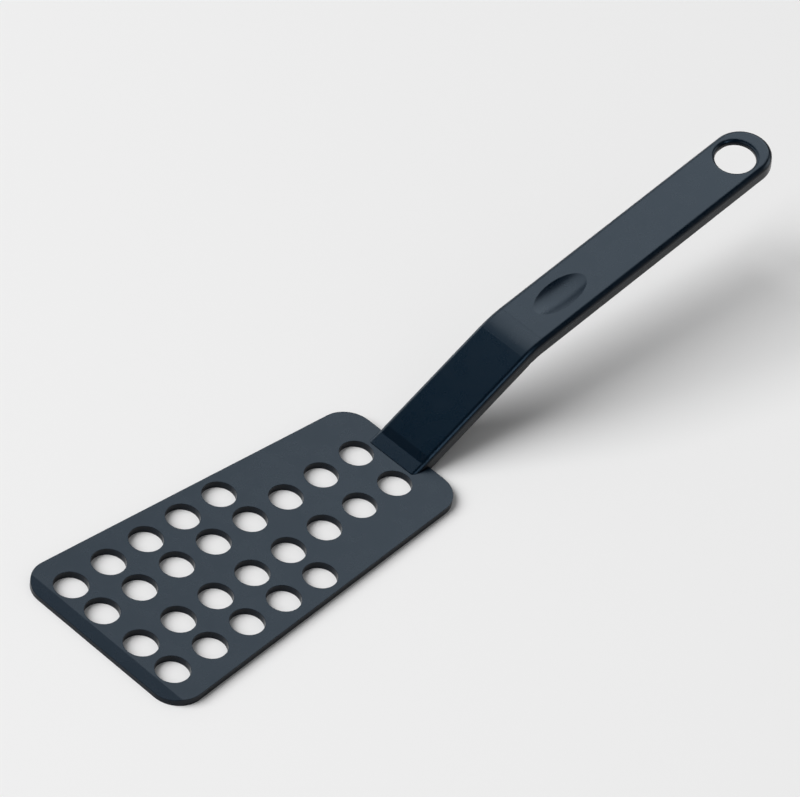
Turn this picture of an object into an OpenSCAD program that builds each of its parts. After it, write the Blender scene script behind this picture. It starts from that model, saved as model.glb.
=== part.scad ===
// Perforated kitchen spatula with an offset handle.
// The blade lies on z = 0, the handle rises from its heel along +X, and y = 0 is the plane of symmetry.
// The handle follows one path in the side view: foot, neck, bend and grip. A bar section is swept along it.

/* [Blade] */
// Length of the blade from its front edge to its heel
blade_l = 145.7; // [138:0.1:170]
// Width of the blade at its front edge
blade_front_w = 76.5; // [72:0.5:90]
// Width of the blade at its heel
blade_heel_w = 55.5; // [48:0.5:66]
// Thickness of the blade
blade_t = 2.8; // [2.4:0.1:4]
// Radius of the two front corners
front_corner_r = 10; // [4:0.5:16]
// Radius of the two heel corners
heel_corner_r = 10.5; // [4:0.5:16]
// Length of the bevel on top of the front edge
bevel_l = 4.4; // [2:0.1:5]
// Thickness that the bevel leaves at the front edge
front_edge_t = 1.8; // [0.6:0.1:2.2]

/* [Drainage holes] */
// Diameter of a drainage hole
hole_d = 12; // [8:0.5:13]
// Distance between neighbouring holes along a row
hole_pitch = 17.05; // [15:0.05:17.5]
// Distance between the two middle rows
middle_rows_gap = 18.3; // [16:0.1:19]
// Distance between the two outer rows
outer_rows_gap = 48; // [46:0.5:50]
// Holes in each middle row
middle_row_holes = 8; // [3:1:8]
// Holes in each outer row
outer_row_holes = 5; // [1:1:6]
// Distance from the front edge to the centres of the first holes
first_hole_inset = 11.3; // [10.4:0.1:13]

/* [Handle] */
// Width of the handle
handle_w = 22; // [20:0.5:26]
// Thickness of the handle
handle_t = 6.2; // [5.8:0.1:8]
// Thickness of the upper shell, down to the parting line
upper_shell_t = 2.2; // [2.1:0.1:2.6]
// Rounding of the handle's top edges
top_edge_r = 2; // [0.6:0.1:2]
// Rounding of the handle's bottom edges
bottom_edge_r = 1; // [0.4:0.1:1.4]
// Thickness of the lower shell's side walls
side_wall_t = 1.5; // [1:0.1:2]
// Thickness of the lower shell's floor
floor_t = 1.5; // [1.2:0.1:1.6]

/* [Handle path] */
// Length of the foot that lies on the blade
foot_overlap = 7.5; // [5:0.1:9]
// Angle of the neck above the blade
neck_angle = 27.3; // [22:0.1:34]
// Length of the neck along its top, from the foot's front to the bend
neck_l = 61.4; // [56:0.1:80]
// Angle of the grip above the blade
grip_angle = 10.5; // [4:0.1:16]
// Length of the grip along its top, from the bend to the handle's end
grip_l = 128.1; // [110:0.1:150]
// Radius of the bend between neck and grip, on top
bend_r = 33; // [20:1:50]
// Height of the step at the front of the foot
foot_lip_h = 0.15; // [0.15:0.05:0.6]
// Rounding of the front tab's two side edges
tab_edge_r = 1.7; // [0.6:0.1:1.9]
// How much flatter the foot's front tab is than the neck
tab_slack = 4.6; // [4:0.1:7]
// How much steeper the fold behind the tab is than the neck
fold_rise = 5; // [5:0.1:9]
// Distance along the neck from the foot's front to the top of the fold
fold_end = 8.5; // [7.8:0.1:11]

/* [Hanging eye] */
// Diameter of the hanging hole
eye_d = 14.8; // [8:0.2:15]
// Distance from the handle's end to the centre of the hanging hole
eye_inset = 14; // [12:0.1:16]
// Rounding of the hanging hole's upper rim
eye_edge_r = 1.4; // [0.6:0.1:1.5]

/* [Thumb dish] */
// Length of the thumb dish
dish_l = 24; // [16:0.5:30]
// Width of the thumb dish
dish_w = 11.6; // [8:0.2:14]
// Depth of the thumb dish at its middle
dish_depth = 1.1; // [0.5:0.1:1.3]
// Distance along the grip from the bend to the middle of the dish
dish_from_bend = 24; // [20:0.5:40]

/* [Tang and pins] */
// Width of the tang that runs up inside the neck
tang_w = 13; // [10:0.5:14]
// Length of the tang, measured along the neck from the foot's front
tang_l = 52; // [44:0.5:53]
// Diameter of a tang pin
pin_d = 4; // [3:0.1:5]
// Distance from the foot's front to the first pin
first_pin_at = 24; // [20:0.5:26]
// Distance between neighbouring pins
pin_pitch = 11; // [8:0.5:12]
// Number of pins
pin_count = 3; // [1:1:3]
// Depth of a pin's seat in the upper shell
upper_seat_depth = 1.1; // [0.6:0.1:1.3]
// Depth of a pin's seat in the lower shell's floor
lower_seat_depth = 0.7; // [0.4:0.1:0.8]

/* [Shell details] */
// Width of the locating ribs under the upper shell
rib_w = 1.2; // [0.8:0.1:1.4]
// Height of the locating ribs
rib_h = 1; // [0.6:0.1:1.6]
// Thickness of a cross rib in the lower shell
cross_rib_t = 1.2; // [0.8:0.1:2]
// Distance along the grip from the bend to the first cross rib
first_cross_rib_at = 12; // [8:1:20]
// Distance between neighbouring cross ribs
cross_rib_pitch = 20; // [16:1:24]
// Number of cross ribs
cross_rib_count = 5; // [2:1:5]
// Distance from the hanging hole's centre to where the lower shell's floor ends
floor_stop = 10; // [9.5:0.5:14]

/* [Fits] */
// Gap between pieces that fit into or against each other
fit_gap = 0.1; // [0.05:0.01:0.2]

/* [Hidden] */
curve_facets = 96;
$fn = curve_facets;
// Length by which every cut runs past the surface it cuts
overrun = 1;
// Share of the tang's thickness by which its root lies inside the blade
tang_root_share = 0.3;
// How far the bend's section lies inside the straight runs that it laps into
lap_inset = 0.02;
// Angle by which the bend laps into the straight run at each of its ends
lap_angle = 1;
// How far a rib is sunk into the wall that it stands on
rib_root = 0.5;
blade_color = "#3d4450";
upper_shell_color = "#434b56";
lower_shell_color = "#3c4147";
pin_color = "#8a8d91";

front_x = -blade_l / 2;
heel_x = blade_l / 2;
// Slope of the blade's sides in the top view
side_angle = atan((blade_front_w - blade_heel_w) / 2 / blade_l);

half_w = handle_w / 2;
cavity_h = handle_t - upper_shell_t - floor_t;
inner_half_w = half_w - side_wall_t;
tang_t = cavity_h - 2 * fit_gap;
tang_depth = upper_shell_t + fit_gap;
tang_start = tang_depth / tan(neck_angle) - tang_t * tang_root_share;

// Points of the path are written as [x, z] in the side view
foot_p = [heel_x - foot_overlap, blade_t];
bend_p = foot_p + neck_l * along(neck_angle);
bend_tangent_l = bend_r * tan((neck_angle - grip_angle) / 2);
bend_centre = bend_p - bend_tangent_l * along(neck_angle) - bend_r * above(neck_angle);
neck_run_l = neck_l - bend_tangent_l;
end_at = grip_l - half_w;
eye_at = grip_l - eye_inset;
floor_end = eye_at - floor_stop;

// Unit vectors in the side view, along a slope and square to it
function along(angle) = [cos(angle), sin(angle)];
function above(angle) = [-sin(angle), cos(angle)];

// Places its children at a path point, with local X along the slope and local Z square to it
module at_path(p, angle) {
    translate([p[0], 0, p[1]])
        rotate([0, -angle, 0])
            children();
}

module on_neck(distance) {
    at_path(foot_p, neck_angle)
        translate([distance, 0, 0])
            children();
}

module on_grip(distance) {
    at_path(bend_p, grip_angle)
        translate([distance, 0, 0])
            children();
}

// Sweeps a bar section back along a slope. Sections have their top middle at the origin and reach down.
module back_run(length) {
    rotate([90, 0, -90])
        linear_extrude(length)
            children();
}

// Sweeps a bar section round the bend, a little way into the straight runs at both ends
module bend_run() {
    translate([bend_centre[0], 0, bend_centre[1]])
        rotate([90, 0, 0])
            rotate([0, 0, 90 + grip_angle - lap_angle])
                rotate_extrude(angle = neck_angle - grip_angle + 2 * lap_angle)
                    translate([bend_r, 0])
                        rotate(-90)
                            children();
}

// Turns the right half of a bar section round the middle of the handle's end
module end_round() {
    on_grip(end_at)
        rotate([0, 0, -90])
            rotate_extrude(angle = 180)
                intersection() {
                    children();
                    translate([0, -handle_t - overrun])
                        square([handle_w, handle_t + 2 * overrun]);
                }
}

// A rectangle, given by its half width and the heights of its two long sides
module band(half, low, high) {
    translate([-half, low])
        square([2 * half, high - low]);
}

module upper_section(inset = 0, edge_r = top_edge_r) {
    half = half_w - inset;
    low = -upper_shell_t + inset;
    band(half - edge_r, low, -inset);
    band(half, low, -inset - edge_r);
    intersection() {
        for (side = [-1, 1])
            translate([side * (half - edge_r), -inset - edge_r])
                circle(edge_r);
        band(half, low, -inset);
    }
}

// The upper section carried far down, for the surfaces that shape the foot from above
module foot_section(edge_r) {
    upper_section(0, edge_r);
    band(half_w, -handle_w, -edge_r);
}

// The lower shell's section, with its hollow reaching down to a given height
module lower_section(hollow_low, inset = 0) {
    half = half_w - inset;
    low = -handle_t + inset;
    high = -upper_shell_t - inset;
    difference() {
        union() {
            band(half, low + bottom_edge_r, high);
            band(half - bottom_edge_r, low, high);
            for (side = [-1, 1])
                translate([side * (half - bottom_edge_r), low + bottom_edge_r])
                    circle(bottom_edge_r);
        }
        band(inner_half_w + inset, hollow_low, -upper_shell_t + overrun);
    }
}

// Everything under and in front of the blade's top and heel, which the handle has to stay out of
module blade_space() {
    translate([front_x, -blade_front_w / 2, -blade_l])
        cube([blade_l, blade_front_w, blade_l + blade_t]);
    translate([front_x, -blade_front_w / 2, -blade_l])
        cube([blade_l + foot_overlap, blade_front_w, blade_l]);
}

// The neck with its foot: a flatter tab on the blade, then a steeper fold that rises to the neck
module neck_and_foot() {
    intersection() {
        union() {
            intersection() {
                on_neck(neck_run_l)
                    back_run(neck_run_l + overrun)
                        upper_section();
                on_neck(fold_end)
                    rotate([0, -fold_rise, 0])
                        translate([neck_l, 0, 0])
                            back_run(neck_l + fold_end + overrun)
                                foot_section(top_edge_r);
            }
            intersection() {
                at_path(foot_p + [0, foot_lip_h], neck_angle - tab_slack)
                    translate([fold_end - 2 * overrun, 0, 0])
                        back_run(fold_end)
                            foot_section(tab_edge_r);
                on_neck(-handle_t)
                    translate([0, -handle_w, -upper_shell_t])
                        cube([fold_end + 2 * handle_t, 2 * handle_w, 2 * handle_t]);
            }
        }
        translate([foot_p[0], -handle_w, 0])
            cube([neck_l, 2 * handle_w, neck_l]);
    }
}

// The dish is the dent that the crowned rim of a wheel leaves, with the wheel's axle along the grip
module thumb_dish() {
    wheel_r = (pow(dish_w / 2, 2) + pow(dish_depth, 2)) / (2 * dish_depth);
    crown_r = (pow(dish_l / 2, 2) + pow(dish_depth, 2)) / (2 * dish_depth);
    on_grip(dish_from_bend)
        translate([0, 0, wheel_r - dish_depth])
            rotate([0, 90, 0])
                rotate_extrude()
                    intersection() {
                        translate([wheel_r - crown_r, 0])
                            circle(crown_r);
                        translate([wheel_r - dish_depth - overrun, -dish_l])
                            square([2 * dish_depth + overrun, 2 * dish_l]);
                    }
}

module eye_cut() {
    rim_r = eye_d / 2 + eye_edge_r;
    on_grip(eye_at) {
        translate([0, 0, -handle_t])
            cylinder(d = eye_d, h = handle_t + overrun);
        rotate_extrude()
            difference() {
                translate([0, -eye_edge_r])
                    square([rim_r, eye_edge_r + overrun]);
                translate([rim_r, -eye_edge_r])
                    circle(eye_edge_r);
            }
    }
}

// Pins stand square to the neck, so one loop serves the pins, their seats and the tang's holes
module at_pins(low, high, diameter) {
    for (i = [0:pin_count - 1])
        on_neck(first_pin_at + i * pin_pitch)
            translate([0, 0, low])
                cylinder(d = diameter, h = high - low);
}

module blade_outline() {
    front_y = blade_front_w / 2;
    heel_y = blade_heel_w / 2;
    // Centres of the corner circles, each tangent to an end and to a sloping side
    front_c_x = front_x + front_corner_r;
    heel_c_x = heel_x - heel_corner_r;
    front_c_y = front_y - front_corner_r * (tan(side_angle) + 1 / cos(side_angle));
    heel_c_y = heel_y + heel_corner_r * (tan(side_angle) - 1 / cos(side_angle));
    // Where the circles touch the sloping side
    front_t = [front_c_x, front_c_y] + front_corner_r * [sin(side_angle), cos(side_angle)];
    heel_t = [heel_c_x, heel_c_y] + heel_corner_r * [sin(side_angle), cos(side_angle)];
    for (side = [-1, 1]) {
        translate([front_c_x, side * front_c_y])
            circle(front_corner_r);
        translate([heel_c_x, side * heel_c_y])
            circle(heel_corner_r);
    }
    polygon([
        [front_x, -front_c_y],
        [front_x, front_c_y],
        [front_c_x, front_c_y],
        front_t,
        heel_t,
        [heel_c_x, heel_c_y],
        [heel_x, heel_c_y],
        [heel_x, -heel_c_y],
        [heel_c_x, -heel_c_y],
        [heel_t[0], -heel_t[1]],
        [front_t[0], -front_t[1]],
        [front_c_x, -front_c_y]
    ]);
}

module hole_row(y, count) {
    for (i = [0:count - 1])
        translate([front_x + first_hole_inset + i * hole_pitch, y, -overrun])
            cylinder(d = hole_d, h = blade_t + 2 * overrun);
}

module front_bevel() {
    rise = blade_t - front_edge_t;
    rotate([90, 0, 0])
        linear_extrude(blade_front_w + 2 * overrun, center = true)
            polygon([
                [front_x - overrun, front_edge_t - overrun * rise / bevel_l],
                [front_x + bevel_l, blade_t],
                [front_x + bevel_l, blade_t + overrun],
                [front_x - overrun, blade_t + overrun]
            ]);
}

module tang() {
    difference() {
        on_neck(tang_start)
            translate([0, -tang_w / 2, -tang_depth - tang_t])
                cube([tang_l - tang_start, tang_w, tang_t]);
        at_pins(-handle_t, 0, pin_d + 2 * fit_gap);
    }
}

module blade() {
    color(blade_color) {
        difference() {
            linear_extrude(blade_t)
                blade_outline();
            front_bevel();
            for (side = [-1, 1]) {
                hole_row(side * middle_rows_gap / 2, middle_row_holes);
                hole_row(side * outer_rows_gap / 2, outer_row_holes);
            }
        }
        tang();
    }
}

// Two ribs that stand inside the lower shell's walls, from one distance along a slope to another
module locating_ribs(from, to) {
    for (side = [-1, 1])
        translate([from, side * (inner_half_w - fit_gap - rib_w / 2) - rib_w / 2, -upper_shell_t - rib_h])
            cube([to - from, rib_w, rib_h + rib_root]);
}

module handle_upper_shell() {
    color(upper_shell_color)
        difference() {
            union() {
                neck_and_foot();
                bend_run()
                    upper_section(lap_inset);
                on_grip(end_at)
                    back_run(end_at - bend_tangent_l)
                        upper_section();
                end_round()
                    upper_section();
                on_neck(0)
                    locating_ribs(fold_end, neck_run_l - overrun);
                on_grip(0)
                    locating_ribs(bend_tangent_l + overrun, floor_end - overrun);
            }
            blade_space();
            thumb_dish();
            eye_cut();
            at_pins(-handle_t, -upper_shell_t + upper_seat_depth, pin_d + 2 * fit_gap);
        }
}

module cross_ribs() {
    rib_half = inner_half_w - rib_w - 2 * fit_gap;
    for (i = [0:cross_rib_count - 1])
        on_grip(first_cross_rib_at + i * cross_rib_pitch)
            translate([0, -rib_half, -handle_t + floor_t - rib_root])
                cube([cross_rib_t, 2 * rib_half, cavity_h - fit_gap + rib_root]);
}

module handle_lower_shell() {
    floor_top = -handle_t + floor_t;
    open_low = -handle_t - overrun;
    color(lower_shell_color)
        difference() {
            union() {
                on_neck(neck_run_l)
                    back_run(neck_run_l)
                        lower_section(floor_top);
                bend_run()
                    lower_section(floor_top - lap_inset, lap_inset);
                on_grip(floor_end)
                    back_run(floor_end - bend_tangent_l)
                        lower_section(floor_top);
                on_grip(end_at)
                    back_run(end_at - floor_end)
                        lower_section(open_low);
                end_round()
                    lower_section(open_low);
                cross_ribs();
            }
            blade_space();
            at_pins(floor_top - lower_seat_depth, 0, pin_d + 2 * fit_gap);
        }
}

module tang_pins() {
    color(pin_color)
        at_pins(
            -handle_t + floor_t - lower_seat_depth + fit_gap,
            -upper_shell_t + upper_seat_depth - fit_gap,
            pin_d
        );
}

blade();
handle_upper_shell();
handle_lower_shell();
tang_pins();
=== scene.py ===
import math

import bpy
from mathutils import Matrix, Vector

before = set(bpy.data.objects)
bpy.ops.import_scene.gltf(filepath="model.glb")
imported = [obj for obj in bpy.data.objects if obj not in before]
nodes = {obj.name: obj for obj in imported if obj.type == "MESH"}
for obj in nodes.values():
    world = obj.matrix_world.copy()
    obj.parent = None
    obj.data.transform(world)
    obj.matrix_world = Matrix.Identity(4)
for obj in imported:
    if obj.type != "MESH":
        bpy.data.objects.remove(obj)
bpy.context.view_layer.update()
scene = bpy.context.scene
scene.view_settings.view_transform = "Standard"

# Camera, solved from the photo: azimuth and elevation of the view, roll, and focal length in pixels
PHOTO_W = 800
SENSOR = 36.0
FOCAL_PX = 4956.9
AZIMUTH = math.radians(-53.52)
ELEVATION = math.radians(42.83)
ROLL = math.radians(10.99)
CAMERA_AT = Vector((-0.91715, -0.72543, 1.16305))

# Middle of the part, and the top of the bend between neck and grip
MIDDLE = Vector((0.09, 0, 0.02))
BEND = Vector((0.1199, 0, 0.031))

# Colours of the nylon, darkest and lightest, and of the soft lights
UPPER_DARK = (0.0003, 0.003, 0.0075, 1)
UPPER_LIGHT = (0.0008, 0.0045, 0.0095, 1)
LOWER_DARK = (0.0003, 0.003, 0.0065, 1)
LOWER_LIGHT = (0.0008, 0.0045, 0.0085, 1)
PIN_DARK = (0.22, 0.23, 0.24, 1)
PIN_LIGHT = (0.26, 0.27, 0.28, 1)
PALE = (0.87, 0.87, 0.87, 1)
WHITE = (1, 1, 1)
BLUE = (0.71, 0.86, 1.0)
EDGE_BLUE = (0.4, 0.68, 1.0)
DEEP_BLUE = (0.05, 0.5, 1.0)

# Gloss of the nylon: satin skin, plainer pins, and the index that sets how strongly each mirrors
SATIN = 0.28
PIN_ROUGHNESS = 0.45
GLOSS_SPREAD = 0.02
HANDLE_IOR = 1.3
BLADE_IOR = 1.262

# Floor, dome and the largest distance that the camera sees
FLOOR_SIZE = 24.0
FLOOR_DROP = 0.00002
DOME_STRENGTH = 0.3
FAR_CLIP = 60

# Sockets of a colour mix, which share their names with the other kinds of mix
MIX_A, MIX_B, MIX_RESULT = 6, 7, 2


def camera_axes():
    right = Vector((math.cos(AZIMUTH), math.sin(AZIMUTH), 0))
    back = Vector(
        (
            math.sin(AZIMUTH) * math.cos(ELEVATION),
            -math.cos(AZIMUTH) * math.cos(ELEVATION),
            math.sin(ELEVATION),
        )
    )
    up = back.cross(right)
    rolled_right = right * math.cos(ROLL) + up * math.sin(ROLL)
    rolled_up = up * math.cos(ROLL) - right * math.sin(ROLL)
    return rolled_right, rolled_up, back


def add_camera():
    data = bpy.data.cameras.new("camera")
    data.sensor_fit = "HORIZONTAL"
    data.sensor_width = SENSOR
    data.lens = FOCAL_PX * SENSOR / PHOTO_W
    data.clip_end = FAR_CLIP
    cam = bpy.data.objects.new("camera", data)
    scene.collection.objects.link(cam)
    right, up, back = camera_axes()
    turn = Matrix((right, up, back)).transposed().to_4x4()
    cam.matrix_world = Matrix.Translation(CAMERA_AT) @ turn
    scene.camera = cam


class Shader:
    """A small helper that adds nodes to one material and links them"""

    def __init__(self, name):
        self.material = bpy.data.materials.new(name)
        self.material.use_nodes = True
        self.tree = self.material.node_tree
        self.tree.nodes.clear()
        self.out = self.tree.nodes.new("ShaderNodeOutputMaterial")

    def node(self, kind, **values):
        made = self.tree.nodes.new("ShaderNode" + kind)
        for key, value in values.items():
            if hasattr(made, key):
                setattr(made, key, value)
            else:
                made.inputs[key.replace("_", " ")].default_value = value
        return made

    def link(self, source, target):
        self.tree.links.new(source, target)


def moulded_nylon(name, dark, light, roughness=SATIN, ior=HANDLE_IOR):
    """Glass-filled nylon: blue-black, a fine pebbled skin, and faint clouds in colour and gloss"""
    s = Shader(name)
    coords = s.node("TexCoord")
    clouds = s.node("TexNoise", Scale=38.0, Detail=3.0)
    pebble = s.node("TexNoise", Scale=2600.0, Detail=2.0)
    wave = s.node("TexNoise", Scale=160.0, Detail=2.0)
    for tex in (clouds, pebble, wave):
        s.link(coords.outputs["Object"], tex.inputs["Vector"])
    colour = s.node("Mix", data_type="RGBA")
    colour.inputs[MIX_A].default_value = dark
    colour.inputs[MIX_B].default_value = light
    s.link(clouds.outputs["Fac"], colour.inputs["Factor"])
    gloss = s.node("MapRange")
    gloss.inputs["From Min"].default_value = 0.3
    gloss.inputs["From Max"].default_value = 0.7
    gloss.inputs["To Min"].default_value = roughness - GLOSS_SPREAD
    gloss.inputs["To Max"].default_value = roughness + GLOSS_SPREAD
    s.link(wave.outputs["Fac"], gloss.inputs["Value"])
    bump = s.node("Bump", Strength=0.25, Distance=0.00004)
    s.link(pebble.outputs["Fac"], bump.inputs["Height"])
    soft_edge = s.node("Bevel", samples=6, Radius=0.00025)
    s.link(soft_edge.outputs["Normal"], bump.inputs["Normal"])
    skin = s.node("BsdfPrincipled", IOR=ior)
    s.link(colour.outputs[MIX_RESULT], skin.inputs["Base Color"])
    s.link(gloss.outputs["Result"], skin.inputs["Roughness"])
    s.link(bump.outputs["Normal"], skin.inputs["Normal"])
    s.link(skin.outputs["BSDF"], s.out.inputs["Surface"])
    return s.material


def dress_nodes():
    looks = {
        "blade": moulded_nylon("blade_nylon", UPPER_DARK, UPPER_LIGHT, ior=BLADE_IOR),
        "handle_upper_shell": moulded_nylon("upper_nylon", UPPER_DARK, UPPER_LIGHT),
        "handle_lower_shell": moulded_nylon("lower_nylon", LOWER_DARK, LOWER_LIGHT),
        "tang_pins": moulded_nylon("pin_nylon", PIN_DARK, PIN_LIGHT, PIN_ROUGHNESS),
    }
    for name, material in looks.items():
        mesh = nodes[name].data
        mesh.materials.clear()
        mesh.materials.append(material)


def add_floor():
    mesh = bpy.data.meshes.new("floor")
    half = FLOOR_SIZE / 2
    around = [(-1, -1), (1, -1), (1, 1), (-1, 1)]
    corners = [(x * half, y * half, -FLOOR_DROP) for x, y in around]
    mesh.from_pydata(corners, [], [(0, 1, 2, 3)])
    floor = bpy.data.objects.new("floor", mesh)
    scene.collection.objects.link(floor)
    s = Shader("floor_paper")
    paper = s.node("BsdfDiffuse", Color=PALE)
    s.link(paper.outputs["BSDF"], s.out.inputs["Surface"])
    mesh.materials.append(s.material)


def add_panel(name, aim, toward, distance, size, radiance, colour, shift=(0, 0), glossy=True):
    """A soft box that faces its aim, with its width along X, seen either as gloss or as fill"""
    width, height = size
    data = bpy.data.lights.new(name, "AREA")
    data.shape = "RECTANGLE"
    data.size = width
    data.size_y = height
    data.color = colour
    data.energy = radiance * math.pi * width * height
    lamp = bpy.data.objects.new(name, data)
    scene.collection.objects.link(lamp)
    away = Vector(toward).normalized()
    side = (Vector((1, 0, 0)) - away * away.x).normalized()
    upward = away.cross(side)
    turn = Matrix((side, upward, away)).transposed().to_4x4()
    centre = aim + away * distance + side * shift[0] + upward * shift[1]
    lamp.matrix_world = Matrix.Translation(centre) @ turn
    lamp.visible_camera = False
    lamp.visible_glossy = glossy
    lamp.visible_diffuse = not glossy


def add_light():
    world = bpy.data.worlds.new("studio")
    scene.world = world
    world.use_nodes = True
    dome = world.node_tree.nodes["Background"]
    dome.inputs["Color"].default_value = PALE
    dome.inputs["Strength"].default_value = DOME_STRENGTH
    world.cycles_visibility.glossy = False
    # Name, aim, direction, distance, width and height, radiance, colour and shift along the panel
    add_panel("fill_panel", MIDDLE, (-0.59, 0.44, 0.68), 9.0, (7.2, 7.2), 6.2, WHITE, glossy=False)
    over_bend = (0.30, 0.44, 0.85)
    add_panel("near_panel", BEND, over_bend, 0.8, (0.91, 0.52), 4.15, BLUE, (0.265, -0.027))
    add_panel("near_card", BEND, over_bend, 0.8, (0.13, 0.52), 3.7, BLUE, (-0.255, -0.027))
    add_panel("deep_card", BEND, over_bend, 0.8, (0.22, 0.52), 0.7, DEEP_BLUE, (-0.43, -0.027))
    add_panel("dish_card", MIDDLE, (0.4, 0.84, 0.36), 1.2, (0.9, 0.5), 1.8, BLUE)
    add_panel("back_card", MIDDLE, (-0.35, 0.92, 0.22), 1.5, (2.2, 0.7), 3.0, BLUE)
    add_panel("left_card", MIDDLE, (-0.9, 0.1, 0.35), 1.5, (0.8, 1.4), 1.8, BLUE)
    add_panel("right_card", MIDDLE, (0.85, -0.5, 0.35), 1.5, (0.8, 1.0), 3.0, BLUE)
    add_panel("edge_strip", MIDDLE, (-0.06, -0.8, 0.6), 1.6, (0.35, 1.1), 6.3, EDGE_BLUE)


add_camera()
dress_nodes()
add_floor()
add_light()
